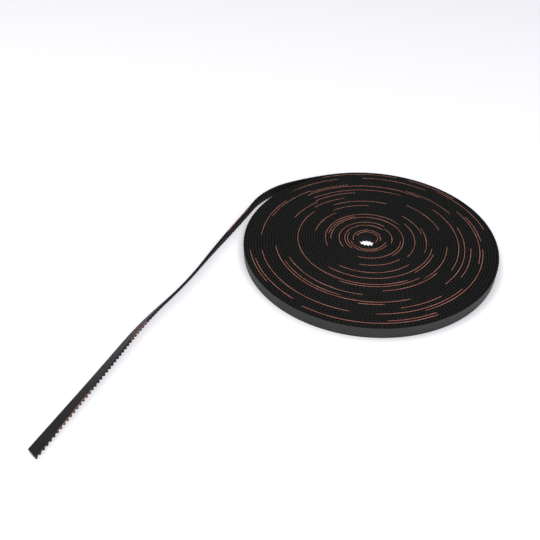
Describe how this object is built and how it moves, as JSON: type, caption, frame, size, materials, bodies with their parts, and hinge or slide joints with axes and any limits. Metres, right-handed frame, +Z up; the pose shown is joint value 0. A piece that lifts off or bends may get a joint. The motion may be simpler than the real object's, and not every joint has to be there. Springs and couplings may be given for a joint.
{
  "type": "timing belt",
  "caption": "Open-ended rubber timing belt wound into a flat coil, with its free end peeled off, twisted and laid on the table.",
  "frame": {"origin": "axis of the coil, at the surface it lies on", "axes": "+Z up along the coil's axis and the belt's width; +X to the right and +Y away, seen from the front, so the free end comes towards -X and -Y"},
  "size_m": [0.2145, 0.1923, 0.0062],
  "materials": {
    "rubber": "matte moulded back, ground smooth",
    "facing": "fine black nylon weave",
    "cords": "twisted glass fibre, red-brown dip"
  },
  "bodies": {
    "coil": {"coil_rubber": "rubber", "coil_facing": "facing", "coil_cords": "cords"},
    "tail_1": {"tail_1_rubber": "rubber", "tail_1_facing": "facing", "tail_1_cords": "cords"},
    "tail_2": {"tail_2_rubber": "rubber", "tail_2_facing": "facing", "tail_2_cords": "cords"},
    "tail_3": {"tail_3_rubber": "rubber", "tail_3_facing": "facing", "tail_3_cords": "cords"},
    "tail_4": {"tail_4_rubber": "rubber", "tail_4_facing": "facing", "tail_4_cords": "cords"},
    "tail_5": {"tail_5_rubber": "rubber", "tail_5_facing": "facing", "tail_5_cords": "cords"},
    "tail_6": {"tail_6_rubber": "rubber", "tail_6_facing": "facing", "tail_6_cords": "cords"},
    "tail_7": {"tail_7_rubber": "rubber", "tail_7_facing": "facing", "tail_7_cords": "cords"},
    "tail_8": {"tail_8_rubber": "rubber", "tail_8_facing": "facing", "tail_8_cords": "cords"}
  },
  "joints": [
    {"name": "bend_1", "type": "hinge", "parent": "coil", "child": "tail_1", "pos_m": [-0.01192, 0.06644, 0.003], "axis": [-0.0001, 0.0003, -1], "range_deg": [0, 25], "stiffness_Nm_per_rad": 0.0005},
    {"name": "bend_2", "type": "hinge", "parent": "tail_1", "child": "tail_2", "pos_m": [-0.04042, 0.05797, 0.00305], "axis": [-0.0204, 0.0482, -0.9986], "range_deg": [0, 25], "stiffness_Nm_per_rad": 0.0005},
    {"name": "bend_3", "type": "hinge", "parent": "tail_2", "child": "tail_3", "pos_m": [-0.06182, 0.03784, 0.00315], "axis": [-0.2013, 0.1004, -0.9744], "range_deg": [0, 25], "stiffness_Nm_per_rad": 0.0005},
    {"name": "bend_4", "type": "hinge", "parent": "tail_3", "child": "tail_4", "pos_m": [-0.0755, 0.01114, 0.00316], "axis": [-0.2735, 0.1439, -0.9511], "range_deg": [0, 25], "stiffness_Nm_per_rad": 0.0005},
    {"name": "bend_5", "type": "hinge", "parent": "tail_4", "child": "tail_5", "pos_m": [-0.089, -0.01565, 0.00307], "axis": [-0.4773, 0.2302, -0.848], "range_deg": [0, 25], "stiffness_Nm_per_rad": 0.0005},
    {"name": "bend_6", "type": "hinge", "parent": "tail_5", "child": "tail_6", "pos_m": [-0.10393, -0.04164, 0.0029], "axis": [-0.5547, 0.3742, -0.7431], "range_deg": [0, 25], "stiffness_Nm_per_rad": 0.0005},
    {"name": "bend_7", "type": "hinge", "parent": "tail_6", "child": "tail_7", "pos_m": [-0.11863, -0.06775, 0.00254], "axis": [-0.7439, 0.3429, -0.5736], "range_deg": [0, 25], "stiffness_Nm_per_rad": 0.0005},
    {"name": "bend_8", "type": "hinge", "parent": "tail_7", "child": "tail_8", "pos_m": [-0.13149, -0.09486, 0.00217], "axis": [-0.8146, 0.3973, -0.4226], "range_deg": [0, 25], "stiffness_Nm_per_rad": 0.0005}
  ]
}
